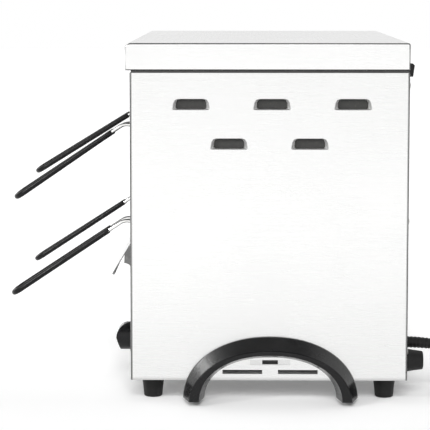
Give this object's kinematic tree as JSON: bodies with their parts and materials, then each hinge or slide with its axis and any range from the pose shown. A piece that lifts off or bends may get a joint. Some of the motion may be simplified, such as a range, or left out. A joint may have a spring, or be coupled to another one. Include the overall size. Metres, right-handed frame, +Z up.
{
  "type": "salamander grill",
  "caption": "Two-level countertop salamander toaster grill in stainless steel with wire tongs, quartz tubes, crumb tray, timer knob and arch side handles.",
  "frame": {"origin": "on the table under the middle of the grill with its tongs in, at the bottom centre of its box without the cord", "axes": "+Z up, -Y towards the user (the front, where the tongs come out), +X towards the side with the timer knob"},
  "size_m": [0.4886, 0.5785, 0.3368],
  "materials": {
    "stainless_satin": "satin, finely brushed",
    "stainless_bright": "bright wire and sheet",
    "steel_dull": "dull, heat marked",
    "black_plastic": "moulded, semi-matt",
    "black_rubber": "matt",
    "quartz_glass": "milky",
    "ceramic_holder": "unglazed",
    "red_lens": "clear red"
  },
  "bodies": {
    "grill": {"base_plate": "stainless_satin", "side_panel_right": "stainless_satin", "side_panel_left": "stainless_satin", "back_panel": "stainless_satin", "top_cover": "stainless_satin", "front_lintel": "stainless_satin", "mid_rail": "stainless_satin", "control_panel": "stainless_satin", "liner_right": "stainless_bright", "liner_left": "stainless_bright", "liner_back": "stainless_bright", "rack_lower": "stainless_bright", "rack_upper": "stainless_bright", "top_reflector": "steel_dull", "deck_plate": "steel_dull", "arch_handle_right": "black_plastic", "arch_handle_left": "black_plastic", "lid_clip_right": "black_plastic", "lid_clip_left": "black_plastic", "timer_body": "black_plastic", "switch_housing": "black_plastic", "terminal_block": "black_plastic", "foot_front_right": "black_rubber", "foot_front_left": "black_rubber", "foot_rear_right": "black_rubber", "foot_rear_left": "black_rubber", "rear_bumper_right": "black_rubber", "rear_bumper_left": "black_rubber", "strain_relief": "black_rubber", "cord_lead": "black_rubber", "cord_coil": "black_rubber", "plug": "black_rubber", "heating_tube_1": "quartz_glass", "heating_tube_2": "quartz_glass", "heating_tube_3": "quartz_glass", "heating_tube_4": "quartz_glass", "heating_tube_5": "quartz_glass", "heating_tube_6": "quartz_glass", "element_bracket_right": "ceramic_holder", "element_bracket_left": "ceramic_holder", "pilot_lamp": "red_lens"},
    "crumb_tray": {"crumb_tray": "stainless_bright"},
    "timer": {"timer_knob": "black_plastic", "timer_shaft": "steel_dull"},
    "rocker_1": {"rocker_1": "black_plastic"},
    "rocker_2": {"rocker_2": "black_plastic"},
    "tong_1": {"tong_1_frame": "stainless_bright", "tong_1_grip": "black_plastic"},
    "tong_1_jaw": {"tong_1_jaw": "stainless_bright"},
    "tong_2": {"tong_2_frame": "stainless_bright", "tong_2_grip": "black_plastic"},
    "tong_2_jaw": {"tong_2_jaw": "stainless_bright"},
    "tong_3": {"tong_3_frame": "stainless_bright", "tong_3_grip": "black_plastic"},
    "tong_3_jaw": {"tong_3_jaw": "stainless_bright"},
    "tong_4": {"tong_4_frame": "stainless_bright", "tong_4_grip": "black_plastic"},
    "tong_4_jaw": {"tong_4_jaw": "stainless_bright"}
  },
  "joints": [
    {"name": "tong_1_slide", "type": "slide", "parent": "grill", "child": "tong_1", "axis": [0, -1, 0], "range_m": [0, 0.235]},
    {"name": "tong_1_jaw_hinge", "type": "hinge", "parent": "tong_1", "child": "tong_1_jaw", "pos_m": [-0.11, -0.0591, 0.16007], "axis": [1, 0, 0], "range_deg": [0, 6]},
    {"name": "tong_2_slide", "type": "slide", "parent": "grill", "child": "tong_2", "axis": [0, -1, 0], "range_m": [0, 0.235]},
    {"name": "tong_2_jaw_hinge", "type": "hinge", "parent": "tong_2", "child": "tong_2_jaw", "pos_m": [0.11, -0.0591, 0.16007], "axis": [1, 0, 0], "range_deg": [0, 6]},
    {"name": "tong_3_slide", "type": "slide", "parent": "grill", "child": "tong_3", "axis": [0, -1, 0], "range_m": [0, 0.235]},
    {"name": "tong_3_jaw_hinge", "type": "hinge", "parent": "tong_3", "child": "tong_3_jaw", "pos_m": [-0.11, -0.0591, 0.25497], "axis": [1, 0, 0], "range_deg": [0, 6]},
    {"name": "tong_4_slide", "type": "slide", "parent": "grill", "child": "tong_4", "axis": [0, -1, 0], "range_m": [0, 0.235]},
    {"name": "tong_4_jaw_hinge", "type": "hinge", "parent": "tong_4", "child": "tong_4_jaw", "pos_m": [0.11, -0.0591, 0.25497], "axis": [1, 0, 0], "range_deg": [0, 6]},
    {"name": "crumb_tray_slide", "type": "slide", "parent": "grill", "child": "crumb_tray", "axis": [0, -1, 0], "range_m": [0, 0.022]},
    {"name": "timer_turn", "type": "hinge", "parent": "grill", "child": "timer", "pos_m": [0.11, -0.0771, 0.0417], "axis": [0, 1, 0], "range_deg": [0, 300]},
    {"name": "rocker_1_tilt", "type": "hinge", "parent": "grill", "child": "rocker_1", "pos_m": [-0.123, -0.0706, 0.0417], "axis": [1, 0, 0], "range_deg": [0, 20]},
    {"name": "rocker_2_tilt", "type": "hinge", "parent": "grill", "child": "rocker_2", "pos_m": [-0.097, -0.0706, 0.0417], "axis": [1, 0, 0], "range_deg": [0, 20]}
  ]
}
